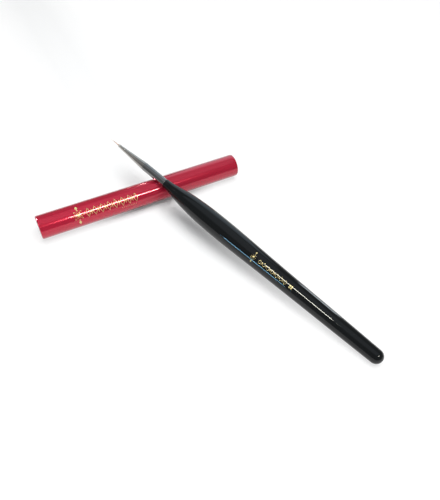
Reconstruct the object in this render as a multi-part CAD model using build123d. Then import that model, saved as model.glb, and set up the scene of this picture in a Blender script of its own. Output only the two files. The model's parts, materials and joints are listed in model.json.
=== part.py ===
"""Fine detail brush lying across its own slip-on cap.

Every piece is turned about one axis, so each is a closed outline revolved about X. The
cap lies on the floor along X with its mouth towards +X. The brush is modelled along X
from the ferrule's mouth (x = 0) to the end of the handle, and is then tilted and turned
so that its tail rests on the floor and its ferrule lies over the cap.
All sizes are in millimetres; outline points are (distance along the axis, radius).
"""

from build123d import *
import math
import os

# ---------------------------------------------------------------- driving sizes: handle
handle_length = 117.6        # from the shoulder that meets the ferrule to the rounded end
shoulder_round = 0.2         # rounded step by which the front end stands out past the ferrule
neck_at = 3.9                # distances from the shoulder to the stations of the swell
neck_diameter = 4.75
flank_at = 10.9
flank_diameter = 6.9
rise_at = 19.9
rise_diameter = 8.7
belly_at = 32.9              # the thickest place, which the cap slides over
belly_diameter = 9.4
waist_at = 57.4
waist_diameter = 8.35
tail_at = 87.4
tail_diameter = 7.05
end_diameter = 5.9           # where the rounded end begins
tail_taper = 1.3             # degrees, half angle of the last stretch before that end
lacquer_thickness = 0.15

# --------------------------------------------------------------- driving sizes: ferrule
ferrule_length = 32.1
ferrule_cone_length = 18.2   # front cone, up to the drawn step
ferrule_mouth_diameter = 1.42
ferrule_step_diameter = 3.78
ferrule_rear_diameter = 3.84
ferrule_wall = 0.18
ferrule_mouth_wall = 0.22    # swaging thickens the metal towards the mouth
step_groove_depth = 0.04     # fine ring left by the drawing die at the end of the cone
step_groove_width = 0.24
glue_thickness = 0.14        # adhesive between the tenon and the narrowest bore round it

# ------------------------------------------------------------------ driving sizes: hair
hair_out_length = 5.8        # hair that shows in front of the ferrule
hair_tip_diameter = 0.1
hair_root_length = 13.0      # hair hidden inside the ferrule
hair_clearance = 0.02        # radial, between the bundle and the ferrule's mouth
flex_clearance = 0.05        # between the bending tuft and the fixed roots
thread_diameter = 0.16
thread_turns = 6
thread_from_end = 1.2        # binding starts this far before the end of the roots
resin_front = 1.6            # setting resin starts this far behind the mouth
resin_behind_hair = 1.5      # and reaches this far behind the roots
tenon_gap = 3.8              # air left between the resin and the handle's tenon

# ------------------------------------------------------------------- driving sizes: cap
cap_length = 96.6
cap_wall = 0.55
cap_clearance = 0.05         # radial, between the bore and the handle's belly
cap_end_thickness = 1.1
cap_edge_round = 0.6         # outer edge of the closed end
cap_inner_round = 0.5        # inside corner of the closed end
mouth_bevel_length = 0.9     # slim bevel round the outside of the mouth
mouth_bevel_depth = 0.1
mouth_chamfer = 0.12         # inner lead-in of the mouth

# ---------------------------------------------------------------- driving sizes: layout
crossing_along_cap = 56.6    # from the cap's closed end to the point under the brush
crossing_before_shoulder = 4.9
crossing_angle = 71.5        # degrees between the two axes, seen from above
rest_gap = 0.1               # between the ferrule and the cap that it lies on

# --------------------------------------------------------------------- derived sizes
cap_bore_radius = belly_diameter / 2 + cap_clearance
cap_radius = cap_bore_radius + cap_wall
hair_radius = ferrule_mouth_diameter / 2 - ferrule_mouth_wall - hair_clearance
tuft_root_radius = hair_radius - hair_clearance
flex_at = -(tuft_root_radius + flex_clearance)
end_radius = end_diameter / 2 / math.cos(math.radians(tail_taper))
end_centre = handle_length - end_radius
rear_bore_radius = ferrule_rear_diameter / 2 - ferrule_wall
step_bore_radius = ferrule_step_diameter / 2 - ferrule_wall
mouth_bore_radius = ferrule_mouth_diameter / 2 - ferrule_mouth_wall
shoulder_radius = ferrule_rear_diameter / 2 + shoulder_round
resin_back = hair_root_length + resin_behind_hair
tenon_front = resin_back + tenon_gap


def turned(*edges):
    """A closed outline of edges above the X axis, revolved about it."""
    return revolve(make_face(edges), Axis.X, 360)


def bore_radius(x):
    """Radius of the ferrule's bore at a distance from its mouth, on straight stretches."""
    if x < ferrule_cone_length:
        share = x / ferrule_cone_length
        return mouth_bore_radius + share * (step_bore_radius - mouth_bore_radius)
    share = (x - ferrule_cone_length) / (ferrule_length - ferrule_cone_length)
    return step_bore_radius + share * (rear_bore_radius - step_bore_radius)


def bore_fill(start, end):
    """The solid that fills the ferrule's bore between two distances from its mouth."""
    stops = [start, end]
    if start < ferrule_cone_length < end:
        stops.insert(1, ferrule_cone_length)
    edge = [(x, bore_radius(x)) for x in stops]
    return turned(Polyline((start, 0), *edge, (end, 0), close=True))


# ------------------------------------------------------------------------------ handle
def handle_outline(inset):
    """Edges of the handle's outline from its shoulder face to its end, moved in by inset."""
    face_top = (ferrule_length + inset, shoulder_radius - shoulder_round)
    round_end = (ferrule_length + shoulder_round, shoulder_radius - inset)
    middle = shoulder_round - (shoulder_round - inset) * math.sqrt(0.5)
    round_middle = (ferrule_length + middle, shoulder_radius - middle)
    stations = [
        (neck_at, neck_diameter),
        (flank_at, flank_diameter),
        (rise_at, rise_diameter),
        (belly_at, belly_diameter),
        (waist_at, waist_diameter),
        (tail_at, tail_diameter),
    ]
    angle = math.radians(tail_taper)
    centre = ferrule_length + end_centre
    radius = end_radius - inset
    join = (centre + radius * math.sin(angle), radius * math.cos(angle))
    half = (math.pi / 2 + angle) / 2
    dome_middle = (centre + radius * math.sin(half), radius * math.cos(half))
    points = [(ferrule_length + u, d / 2 - inset) for u, d in stations]
    side = Spline(
        round_end,
        *points,
        join,
        tangents=[(1, 0), (math.cos(angle), -math.sin(angle))],
    )
    return face_top, [
        ThreePointArc(face_top, round_middle, round_end),
        side,
        ThreePointArc(join, dome_middle, (centre + radius, 0)),
    ]


def make_handle_core():
    """Turned hardwood, with a tenon at its front."""
    face_top, outline = handle_outline(lacquer_thickness)
    end_x = ferrule_length + handle_length - lacquer_thickness
    tenon_radius = min(bore_radius(tenon_front), rear_bore_radius) - glue_thickness
    front = Polyline(
        (end_x, 0),
        (tenon_front, 0),
        (tenon_front, tenon_radius),
        (face_top[0], tenon_radius),
        face_top,
    )
    return turned(front, *outline)


def make_handle_lacquer(core):
    """The dipped coat, which covers the wood everywhere but on the tenon."""
    face_top, outline = handle_outline(0)
    front = Polyline((ferrule_length + handle_length, 0), (ferrule_length, 0), face_top)
    return turned(front, *outline) - core


# ----------------------------------------------------------------------------- ferrule
def make_ferrule():
    """Seamless drawn tube: a long front cone, a fine ring, and a nearly straight rear."""
    step_radius = ferrule_step_diameter / 2
    groove_bottom = step_radius - step_groove_depth
    half_groove = step_groove_width / 2
    lip = ferrule_mouth_wall / 2
    mouth_radius = ferrule_mouth_diameter / 2
    slope = (step_radius - mouth_radius) / ferrule_cone_length
    outside = Polyline(
        (lip, mouth_radius),
        (ferrule_cone_length - half_groove, step_radius - half_groove * slope),
        (ferrule_cone_length, groove_bottom),
        (ferrule_cone_length + half_groove, step_radius),
        (ferrule_length, ferrule_rear_diameter / 2),
        (ferrule_length, rear_bore_radius),
        (ferrule_cone_length, step_bore_radius),
        (lip, bore_radius(lip)),
    )
    nose_middle = (0, (mouth_radius + bore_radius(lip)) / 2)
    nose = ThreePointArc((lip, bore_radius(lip)), nose_middle, (lip, mouth_radius))
    return turned(outside, nose)


def make_ferrule_glue(core):
    """Adhesive sleeve that fills the space between the tenon and the ferrule's bore."""
    return bore_fill(tenon_front, ferrule_length) - core


# -------------------------------------------------------------------------------- hair
def make_hair_root():
    """Bundle of hair inside the ferrule."""
    return turned(
        Polyline(
            (0, 0),
            (0, hair_radius),
            (hair_root_length, hair_radius),
            (hair_root_length, 0),
            close=True,
        )
    )


def make_binding_thread():
    """Thread wound round the roots, its turns side by side, as one ribbed ring."""
    start = hair_root_length - thread_from_end - thread_turns * thread_diameter
    half = thread_diameter / 2
    ribs = []
    for turn in range(thread_turns):
        x = start + turn * thread_diameter
        ribs.append(
            ThreePointArc(
                (x, hair_radius + half),
                (x + half, hair_radius + thread_diameter),
                (x + thread_diameter, hair_radius + half),
            )
        )
    end = start + thread_turns * thread_diameter
    inside = Polyline(
        (end, hair_radius + half),
        (end, hair_radius),
        (start, hair_radius),
        (start, hair_radius + half),
    )
    return turned(*ribs, inside)


def make_setting_resin(root, thread):
    """Resin that fills the ferrule round and behind the tied roots."""
    return bore_fill(resin_front, resin_back) - root - thread


def make_hair_tuft():
    """The hair that shows: a ball-ended needle, which can turn about its ball."""
    tip_radius = hair_tip_diameter / 2
    tip_centre = -hair_out_length + tip_radius
    lean = math.asin((tuft_root_radius - tip_radius) / (flex_at - tip_centre))
    root_touch = (
        flex_at - tuft_root_radius * math.sin(lean),
        tuft_root_radius * math.cos(lean),
    )
    tip_touch = (
        tip_centre - tip_radius * math.sin(lean),
        tip_radius * math.cos(lean),
    )
    half = math.radians(45) + lean / 2
    tip_middle = (
        tip_centre - tip_radius * math.sin(half),
        tip_radius * math.cos(half),
    )
    return turned(
        ThreePointArc((-hair_out_length, 0), tip_middle, tip_touch),
        Line(tip_touch, root_touch),
        ThreePointArc(
            root_touch,
            (flex_at, tuft_root_radius),
            (flex_at + tuft_root_radius, 0),
        ),
        Line((flex_at + tuft_root_radius, 0), (-hair_out_length, 0)),
    )


# --------------------------------------------------------------------------------- cap
def make_cap_tube():
    """Drawn aluminium tube with one closed end, from x = 0 to its mouth."""
    corner = cap_edge_round * (1 - math.sqrt(0.5))
    inner_corner = cap_inner_round * (1 - math.sqrt(0.5))
    floor_x = cap_end_thickness
    return turned(
        Line((0, 0), (0, cap_radius - cap_edge_round)),
        ThreePointArc(
            (0, cap_radius - cap_edge_round),
            (corner, cap_radius - corner),
            (cap_edge_round, cap_radius),
        ),
        Polyline(
            (cap_edge_round, cap_radius),
            (cap_length - mouth_bevel_length, cap_radius),
            (cap_length, cap_radius - mouth_bevel_depth),
            (cap_length, cap_bore_radius + mouth_chamfer),
            (cap_length - mouth_chamfer, cap_bore_radius),
            (floor_x + cap_inner_round, cap_bore_radius),
        ),
        ThreePointArc(
            (floor_x + cap_inner_round, cap_bore_radius),
            (floor_x + inner_corner, cap_bore_radius - inner_corner),
            (floor_x, cap_bore_radius - cap_inner_round),
        ),
        Polyline((floor_x, cap_bore_radius - cap_inner_round), (floor_x, 0), (0, 0)),
    )


# ------------------------------------------------------------------------------ layout
def brush_rest():
    """Tilt of the brush in degrees and its height over the cap's axis where they cross.

    The common normal of the two axes is as long as both radii and the gap, and the
    handle's rounded end touches the floor. The height and the tilt depend on each other
    a little, so the balance is repeated until it settles.
    """
    crossing_x = ferrule_length - crossing_before_shoulder
    reach = ferrule_length + end_centre - crossing_x
    spacing = cap_radius + rest_gap + ferrule_rear_diameter / 2
    tilt = 0.0
    for _ in range(20):
        lean = math.atan(math.tan(tilt) / math.sin(math.radians(crossing_angle)))
        height = cap_radius + spacing / math.cos(lean)
        tilt = math.asin((height - end_radius) / reach)
    return math.degrees(tilt), height


tilt_angle, crossing_height = brush_rest()
brush_place = (
    Pos(crossing_along_cap, 0, crossing_height)
    * Rot(Z=-crossing_angle)
    * Rot(Y=tilt_angle)
    * Pos(crossing_before_shoulder - ferrule_length, 0, 0)
)
cap_place = Pos(0, 0, cap_radius)

handle_core = make_handle_core()
hair_root = make_hair_root()
binding_thread = make_binding_thread()
brush_pieces = {
    "handle_core": handle_core,
    "handle_lacquer": make_handle_lacquer(handle_core),
    "ferrule": make_ferrule(),
    "ferrule_glue": make_ferrule_glue(handle_core),
    "hair_root": hair_root,
    "binding_thread": binding_thread,
    "setting_resin": make_setting_resin(hair_root, binding_thread),
    "hair_tuft": make_hair_tuft(),
}
placed = {name: brush_place * piece for name, piece in brush_pieces.items()}
placed["cap_tube"] = cap_place * make_cap_tube()

# The origin is the middle of the whole object's box, on the floor.
boxes = [piece.bounding_box() for piece in placed.values()]
low_x, high_x = min(box.min.X for box in boxes), max(box.max.X for box in boxes)
low_y, high_y = min(box.min.Y for box in boxes), max(box.max.Y for box in boxes)
to_origin = Pos(-(low_x + high_x) / 2, -(low_y + high_y) / 2, 0)
pieces = {name: to_origin * piece for name, piece in placed.items()}

os.makedirs("parts", exist_ok=True)
for name, piece in pieces.items():
    export_step(piece, f"parts/{name}.step")

flex_point = (to_origin * brush_place * Pos(flex_at, 0, 0)).position
print("tilt", round(tilt_angle, 3), "crossing height", round(crossing_height, 3))
print("box", high_x - low_x, high_y - low_y, "moved by", to_origin.position)
print("flex point", flex_point)
print("cap axis starts", (to_origin * cap_place).position)
print("cap radius", cap_radius, "bore radius", cap_bore_radius)
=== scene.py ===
"""Fine detail brush lying across its slip-on cap: the visible surfaces and materials.

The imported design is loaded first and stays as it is. Each visible piece is a surface worked
out on a grid with numpy, in metres, at the place that the design gives it.
"""

import json
import math

import bpy
import numpy as np
from bpy.props import (
    FloatProperty,
    FloatVectorProperty,
    IntProperty,
    PointerProperty,
)
from mathutils import Matrix, Vector


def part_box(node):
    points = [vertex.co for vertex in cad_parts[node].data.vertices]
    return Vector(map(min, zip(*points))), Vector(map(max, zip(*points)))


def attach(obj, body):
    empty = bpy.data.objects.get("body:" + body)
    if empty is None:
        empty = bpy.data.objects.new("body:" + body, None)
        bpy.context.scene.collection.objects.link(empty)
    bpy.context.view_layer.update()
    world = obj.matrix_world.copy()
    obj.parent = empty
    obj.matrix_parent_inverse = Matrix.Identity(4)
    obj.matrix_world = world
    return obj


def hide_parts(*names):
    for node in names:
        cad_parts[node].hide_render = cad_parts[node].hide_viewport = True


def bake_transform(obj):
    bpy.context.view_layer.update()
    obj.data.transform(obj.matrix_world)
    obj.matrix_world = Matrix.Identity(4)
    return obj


bl_info = {
    "name": "Fine Detail Brush",
    "version": (1, 0, 0),
    "blender": (4, 5, 0),
    "location": "View3D > Sidebar > Detail Brush",
    "description": "Builds a fine detail brush and its slip-on cap round their packed design",
    "category": "Add Mesh",
}

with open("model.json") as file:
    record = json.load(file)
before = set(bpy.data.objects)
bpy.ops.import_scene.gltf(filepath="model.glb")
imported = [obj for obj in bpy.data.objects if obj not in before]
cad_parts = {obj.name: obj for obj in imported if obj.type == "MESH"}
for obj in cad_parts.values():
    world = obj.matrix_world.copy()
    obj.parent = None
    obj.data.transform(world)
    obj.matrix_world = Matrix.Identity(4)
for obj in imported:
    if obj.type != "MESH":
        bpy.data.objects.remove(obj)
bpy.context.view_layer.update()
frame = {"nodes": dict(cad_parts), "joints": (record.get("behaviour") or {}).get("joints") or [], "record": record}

MM = 0.001
DEGREE = math.pi / 180
GOLDEN_ANGLE = math.pi * (3 - math.sqrt(5))


# ------------------------------------------------------------------- sizes of the pieces
def length(name, description, millimetres):
    """A length property whose default is given in millimetres."""
    return FloatProperty(
        name=name,
        description=description,
        default=millimetres * MM,
        min=0.0,
        precision=5,
        subtype="DISTANCE",
        unit="LENGTH",
    )


def angle(name, description, degrees):
    """An angle property whose default is given in degrees."""
    return FloatProperty(
        name=name,
        description=description,
        default=degrees * DEGREE,
        subtype="ANGLE",
        unit="ROTATION",
    )


def colour(name, description, value):
    """A linear colour property."""
    return FloatVectorProperty(
        name=name,
        description=description,
        default=value,
        size=3,
        min=0.0,
        max=1.0,
        subtype="COLOR",
    )


def share(name, description, value):
    """A property for a share between nought and one."""
    return FloatProperty(
        name=name, description=description, default=value, min=0.0, max=1.0, subtype="FACTOR"
    )


def amount(name, description, value, unit="NONE"):
    """A plain number, or a power in watts when its unit says so."""
    return FloatProperty(name=name, description=description, default=value, unit=unit)


def offset(name, description, value):
    """A property for an offset in metres."""
    return FloatVectorProperty(
        name=name,
        description=description,
        default=value,
        precision=5,
        subtype="TRANSLATION",
        unit="LENGTH",
    )


def count(name, description, value):
    """A whole-number property."""
    return IntProperty(name=name, description=description, default=value, min=3)


class CapSizes(bpy.types.PropertyGroup):
    """Sizes and colour of the cap that the design's box and mount don't give."""

    end_thickness: length("End thickness", "Thickness of the closed end", 1.1)
    edge_round: length("Edge round", "Radius of the outer edge of the closed end", 0.6)
    inner_round: length("Inner round", "Radius of the inside corner of the closed end", 0.5)
    bevel_length: length("Bevel length", "Length of the slim bevel round the mouth", 0.9)
    bevel_depth: length("Bevel depth", "Depth of the slim bevel round the mouth", 0.1)
    mouth_chamfer: length("Mouth chamfer", "Lead-in on the inside of the mouth", 0.12)
    segments: count("Segments", "Steps round the tube", 160)
    dye: colour("Dye", "Colour of the anodised dye", (0.57, 0.006, 0.04))


class HandleSizes(bpy.types.PropertyGroup):
    """Sizes and colour of the lacquered handle, from its shoulder to its rounded end."""

    handle_length: length("Length", "From the shoulder to the rounded end", 117.6)
    shoulder_round: length("Shoulder round", "Rounded step round the ferrule", 0.2)
    neck_at: length("Neck at", "Distance from the shoulder to the neck", 3.9)
    neck_diameter: length("Neck diameter", "Diameter at the neck", 4.75)
    flank_at: length("Flank at", "Distance from the shoulder to the flank", 10.9)
    flank_diameter: length("Flank diameter", "Diameter at the flank", 6.9)
    rise_at: length("Rise at", "Distance from the shoulder to the rise", 19.9)
    rise_diameter: length("Rise diameter", "Diameter at the rise", 8.7)
    belly_at: length("Belly at", "Distance from the shoulder to the belly", 32.9)
    belly_diameter: length("Belly diameter", "Diameter at the thickest place", 9.4)
    waist_at: length("Waist at", "Distance from the shoulder to the waist", 57.4)
    waist_diameter: length("Waist diameter", "Diameter at the waist", 8.35)
    tail_at: length("Tail at", "Distance from the shoulder to the tail", 87.4)
    tail_diameter: length("Tail diameter", "Diameter at the tail", 7.05)
    end_diameter: length("End diameter", "Diameter where the rounded end begins", 5.9)
    tail_taper: angle("Tail taper", "Half angle of the last stretch before the end", 1.3)
    lacquer_thickness: length("Lacquer thickness", "Thickness of the dipped coat", 0.15)
    segments: count("Segments", "Steps round the handle", 144)
    lacquer: colour("Lacquer", "Colour of the lacquer", (0.0022, 0.003, 0.0034))


class FerruleSizes(bpy.types.PropertyGroup):
    """Sizes and colour of the drawn metal ferrule."""

    ferrule_length: length("Length", "From the mouth to the handle's shoulder", 32.1)
    cone_length: length("Cone length", "From the mouth to the drawn step", 18.2)
    mouth_diameter: length("Mouth diameter", "Outside diameter at the mouth", 1.42)
    step_diameter: length("Step diameter", "Outside diameter at the step", 3.78)
    rear_diameter: length("Rear diameter", "Outside diameter at the rear", 3.84)
    wall: length("Wall", "Thickness of the metal", 0.18)
    mouth_wall: length("Mouth wall", "Thickness of the metal at the mouth", 0.22)
    groove_depth: length("Groove depth", "Depth of the fine ring at the step", 0.04)
    groove_width: length("Groove width", "Width of the fine ring at the step", 0.24)
    hinge_ahead: length("Hinge ahead", "Distance of the hair's hinge before the mouth", 0.5)
    segments: count("Segments", "Steps round the ferrule", 96)
    plate: colour("Plate", "Colour of the nickel plate", (0.37, 0.365, 0.36))
    cone_plate: colour("Cone plate", "Its colour at the end of the cone", (0.53, 0.5, 0.47))
    # The plate's paler, warmer colour at the mouth.
    mouth_plate: colour("Mouth plate", "Its colour near the mouth", (0.88, 0.84, 0.78))


class HairSizes(bpy.types.PropertyGroup):
    """Sizes and colours of the hair that shows in front of the ferrule."""

    out_length: length("Length out", "Hair that shows in front of the ferrule", 5.8)
    hidden_length: length("Hidden length", "Start of the strands inside the ferrule", 0.7)
    bundle_diameter: length("Bundle diameter", "Diameter of the bundle at the mouth", 0.88)
    strand_diameter: length("Strand diameter", "Diameter of one strand at its root", 0.062)
    tip_diameter: length("Tip diameter", "Diameter of one strand at its tip", 0.016)
    strands: count("Strands", "Number of strands", 132)
    sides: count("Sides", "Steps round one strand", 5)
    rings: count("Rings", "Stations along one strand", 9)
    outer_shorter: share("Outer shorter", "How much shorter the outermost strands are", 0.3)
    uneven_ends: share("Uneven ends", "Largest random shortening of a strand", 0.1)
    quick_taper: share("Quick taper", "Share of its width that the bundle loses early", 0.5)
    wave: length("Wave", "Size of the slow wave in each strand", 0.02)
    root_colour: colour("Root colour", "Colour of the hair near the metal", (0.36, 0.15, 0.05))
    tip_colour: colour("Tip colour", "Colour of the hair's points", (0.62, 0.36, 0.17))


class FoilSizes(bpy.types.PropertyGroup):
    """Thickness and colour of the hot-stamped foil."""

    thickness: length("Thickness", "Height of the foil over the surface", 0.012)
    foil: colour("Foil", "Colour of the foil", (0.8, 0.66, 0.3))


class CapOrnamentSizes(bpy.types.PropertyGroup):
    """Sizes of the cap's ornament; distances along it start at the closed end."""

    middle_angle: angle("Middle angle", "Turn of the middle line from straight up", 46)
    motif_at: length("Motif at", "Distance to the rosette's middle", 17.2)
    motif_along: length("Motif along", "Width of the rosette", 5)
    motif_round: length("Motif round", "Extent of the motif with its two diamonds", 8.2)
    border_at: length("Border at", "Distance to the border's start", 20)
    border_along: length("Border along", "Length of the border", 25.4)
    border_round: length("Border round", "Height of the border", 4.2)
    pitch: length("Pitch", "Wanted distance between two rings", 3.18)
    line_width: length("Line width", "Width of the lines", 0.3)
    dots_at: length("Dots at", "Distance to the first dot", 36.8)
    dots_along: length("Dots along", "Length of the row of dots", 6.6)
    dots_below: length("Dots below", "Distance of the row below the middle line", 2.9)
    dots: count("Dots", "Number of dots", 9)


class HandleOrnamentSizes(bpy.types.PropertyGroup):
    """Sizes of the handle's ornament; distances along it start at the ferrule's mouth."""

    middle_angle: angle("Middle angle", "Turn of the middle line from straight up", 38)
    motif_at: length("Motif at", "Distance to the rosette's middle", 87.2)
    motif_along: length("Motif along", "Width of the rosette", 2.4)
    motif_round: length("Motif round", "Extent of the motif with its two diamonds", 5)
    border_at: length("Border at", "Distance to the border's start", 89.5)
    border_along: length("Border along", "Length of the border", 15.4)
    border_round: length("Border round", "Height of the border", 2)
    pitch: length("Pitch", "Wanted distance between two rings", 2.2)
    line_width: length("Line width", "Width of the lines", 0.135)
    pads_at: length("Pads at", "Distance to the middle of the four pads", 106.65)
    pads_along: length("Pads along", "Distance between their middles along the handle", 0.9)
    pads_round: length("Pads round", "Distance between their middles round it", 0.84)
    pad_half_along: length("Pad half along", "Half the length of a pad", 0.34)
    pad_half_round: length("Pad half round", "Half the width of a pad", 0.32)


class StageSettings(bpy.types.PropertyGroup):
    """The floor, the lights and the camera."""

    floor_size: length("Floor size", "Side of the square floor", 3000.0)
    floor_colour: colour("Floor colour", "Colour of the plain floor", (0.86, 0.86, 0.86))
    floor_in_gloss: share("Floor in gloss", "Share of the floor that reflections show", 0.78)
    glow: amount("Glow", "Brightness of the floor's glow far from its calm strip", 0.66)
    calm_glow: amount("Calm glow", "Brightness of its glow inside the calm strip", 0.04)
    lit_share: share("Lit share", "Lamp light that the floor returns far from the strip", 0.4)
    glow_from: length("Glow from", "Distance from the strip's middle where the glow begins", 8)
    glow_to: length("Glow to", "Distance from the strip's middle where the glow is full", 31)
    calm_from_cap: length("Calm strip", "Its middle, along x from the cap's closed end", 53)
    key_power: amount("Key power", "Power of the overhead soft light", 5.5, "POWER")
    fill_power: amount("Fill power", "Power of the low soft light in front", 2.4, "POWER")
    room: amount("Room light", "Brightness of the plain room round the stage", 0.21)
    lens: FloatProperty(
        name="Lens",
        description="Focal length of the camera",
        default=34.363,
        subtype="DISTANCE_CAMERA",
        unit="CAMERA",
    )
    shift_right: amount("Shift right", "Sideways shift of the camera's frame", 0.0266)
    shift_up: amount("Shift up", "Upward shift of the camera's frame", 0.012)
    camera_from_cap: offset(
        "Camera from cap",
        "The camera's place from the start of the cap's axis",
        (-0.00445, -0.15229, 0.15768),
    )
    view_azimuth: angle("View azimuth", "Direction that the camera looks along, from +Y", 30.472)
    view_elevation: angle("View elevation", "How steeply the camera looks down", 51.781)
    view_roll: angle("View roll", "Turn of the camera about its own axis", 3.783)


GROUPS = {
    "brush_cap": CapSizes,
    "brush_handle": HandleSizes,
    "brush_ferrule": FerruleSizes,
    "brush_hair": HairSizes,
    "brush_foil": FoilSizes,
    "brush_cap_ornament": CapOrnamentSizes,
    "brush_handle_ornament": HandleOrnamentSizes,
    "brush_stage": StageSettings,
}


# --------------------------------------------------------------- places in the design
def cap_place():
    """Where the cap's axis starts, its length and its outside and bore radii."""
    low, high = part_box("cap_tube")
    mount = next(m for m in frame["record"]["mounts"] if m["name"] == "cap_mouth")
    start = Vector((low.x, (low.y + high.y) / 2, (low.z + high.z) / 2))
    bore = mount["dims"]["r_mm"] * MM
    return start, high.x - low.x, (high.z - low.z) / 2, bore


def end_radius(handle):
    """Radius of the ball that rounds the handle's end."""
    return handle.end_diameter / 2 / math.cos(handle.tail_taper)


def brush_matrix(scene):
    """Turns brush coordinates into the row frame.

    In brush coordinates X runs along the axis from the ferrule's mouth to the handle's end,
    Y is level and Z points up from the axis. The hair's hinge lies on the axis and is level,
    and the ball at the handle's end rests on the floor, which gives the tilt.
    """
    handle, ferrule = scene.brush_handle, scene.brush_ferrule
    hinge = next(j for j in frame["joints"] if j["name"] == "hair_flex")
    point, across = Vector(hinge["pos_m"]), Vector(hinge["axis"]).normalized()
    level = across.cross(Vector((0, 0, 1)))
    ball = end_radius(handle)
    reach = ferrule.hinge_ahead + ferrule.ferrule_length + handle.handle_length - ball
    tilt = math.asin((point.z - ball) / reach)
    along = level * math.cos(tilt) - Vector((0, 0, math.sin(tilt)))
    matrix = Matrix((along, across, along.cross(across))).transposed().to_4x4()
    matrix.translation = point + along * ferrule.hinge_ahead
    return matrix


# ----------------------------------------------------------------------- profile shapes
def straight(start, end, steps=12):
    """Points from start to end, closer together near both ends: each is start plus the
    difference times half of one minus the cosine of an even angle."""
    share = (1 - np.cos(np.linspace(0, math.pi, steps + 1))) / 2
    start, end = np.array(start), np.array(end)
    return start + share[:, None] * (end - start)


def arc(centre, radius, start, end, steps=10):
    """Points on a circle: centre plus radius times the cosine and sine of even angles."""
    angles = np.linspace(start, end, steps + 1)
    return np.array(centre) + radius * np.stack([np.cos(angles), np.sin(angles)], axis=1)


def smooth_line(points, start_direction, end_direction, steps):
    """The cubic line through the points whose bending has no jumps, by chord length.

    Its direction at each station solves the usual three-term balance with its neighbours,
    and each span is the cubic that has its stations' places and directions.
    """
    points = np.array(points)
    span = np.linalg.norm(np.diff(points, axis=0), axis=1)
    slope = np.diff(points, axis=0) / span[:, None]
    total = len(points)
    balance = np.eye(total)
    known = np.zeros((total, 2))
    known[0], known[-1] = start_direction, end_direction
    inner = np.arange(1, total - 1)
    balance[inner, inner - 1] = span[1:]
    balance[inner, inner] = 2 * (span[1:] + span[:-1])
    balance[inner, inner + 1] = span[:-1]
    known[1:-1] = 3 * (span[1:, None] * slope[:-1] + span[:-1, None] * slope[1:])
    direction = np.linalg.solve(balance, known)
    station = np.concatenate([[0], np.cumsum(span)])
    at = np.linspace(0, station[-1], steps + 1)
    index = np.clip(np.searchsorted(station, at, side="right") - 1, 0, total - 2)
    step = span[index][:, None]
    share = ((at - station[index])[:, None]) / step
    rest = 1 - share
    return (
        rest**2 * (1 + 2 * share) * points[index]
        + share**2 * (1 + 2 * rest) * points[index + 1]
        + share * rest**2 * step * direction[index]
        - share**2 * rest * step * direction[index + 1]
    )


def joined(*stretches):
    """One outline from several, without the points that two stretches share."""
    outline = np.concatenate(stretches)
    moved = np.linalg.norm(np.diff(outline, axis=0), axis=1) > 1e-9
    return outline[np.concatenate([[True], moved])]


def groove(middle, half, radius, depth, slope):
    """A rounded ring: the line's height less a raised cosine of the distance from it."""
    x = np.linspace(-half, half, 13)
    base = radius + np.minimum(x, 0) * slope
    return np.stack([middle + x, base - depth * (1 + np.cos(math.pi * x / half)) / 2], 1)


def handle_outline(handle, ferrule, inset):
    """The handle's outline from its shoulder face to the ball's pole, moved in by inset."""
    start = ferrule.ferrule_length
    corner = (start + handle.shoulder_round, ferrule.rear_diameter / 2)
    front = arc(corner, handle.shoulder_round - inset, math.pi, math.pi / 2, 8)
    ball = end_radius(handle) - inset
    centre = start + handle.handle_length - end_radius(handle)
    taper = handle.tail_taper
    join = (centre + ball * math.sin(taper), ball * math.cos(taper))
    stations = [
        (handle.neck_at, handle.neck_diameter),
        (handle.flank_at, handle.flank_diameter),
        (handle.rise_at, handle.rise_diameter),
        (handle.belly_at, handle.belly_diameter),
        (handle.waist_at, handle.waist_diameter),
        (handle.tail_at, handle.tail_diameter),
    ]
    points = [tuple(front[-1])]
    points += [(start + x, d / 2 - inset) for x, d in stations]
    points += [join]
    side = smooth_line(points, (1, 0), (math.cos(taper), -math.sin(taper)), 220)
    dome = arc((centre, 0), ball, math.pi / 2 - taper, 0, 22)
    dome[-1, 1] = 0
    return joined(front, side, dome)


# ---------------------------------------------------------------------- meshes from grids
def grid_faces(rings, turn, first_pole, last_pole, looped):
    """Faces of a grid of rings with turn points each, as (quads, triangles).

    Points are numbered ring by ring, and then come the poles. A pole is one point that
    closes an end with triangles; looped joins the last ring to the first.
    """
    ring = np.arange(rings if looped else rings - 1)[:, None]
    step = np.arange(turn)[None, :]
    after = (step + 1) % turn
    above = (ring + 1) % rings
    quads = np.stack(
        [ring * turn + step, ring * turn + after, above * turn + after, above * turn + step],
        axis=-1,
    ).reshape(-1, 4)
    step, after = step[0], after[0]
    fans = [np.zeros((0, 3), int)]
    pole = rings * turn
    if first_pole:
        fans.append(np.stack([np.full(turn, pole), after, step], axis=-1))
        pole += 1
    if last_pole:
        base = (rings - 1) * turn
        fans.append(np.stack([np.full(turn, pole), base + step, base + after], axis=-1))
    return quads, np.concatenate(fans)


def enclosed_volume(points, triangles):
    """Signed volume: a sixth of the sum of each triangle's triple product."""
    a, b, c = (points[triangles[:, k]] for k in range(3))
    return np.einsum("ij,ij->i", a, np.cross(b, c)).sum() / 6


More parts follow.
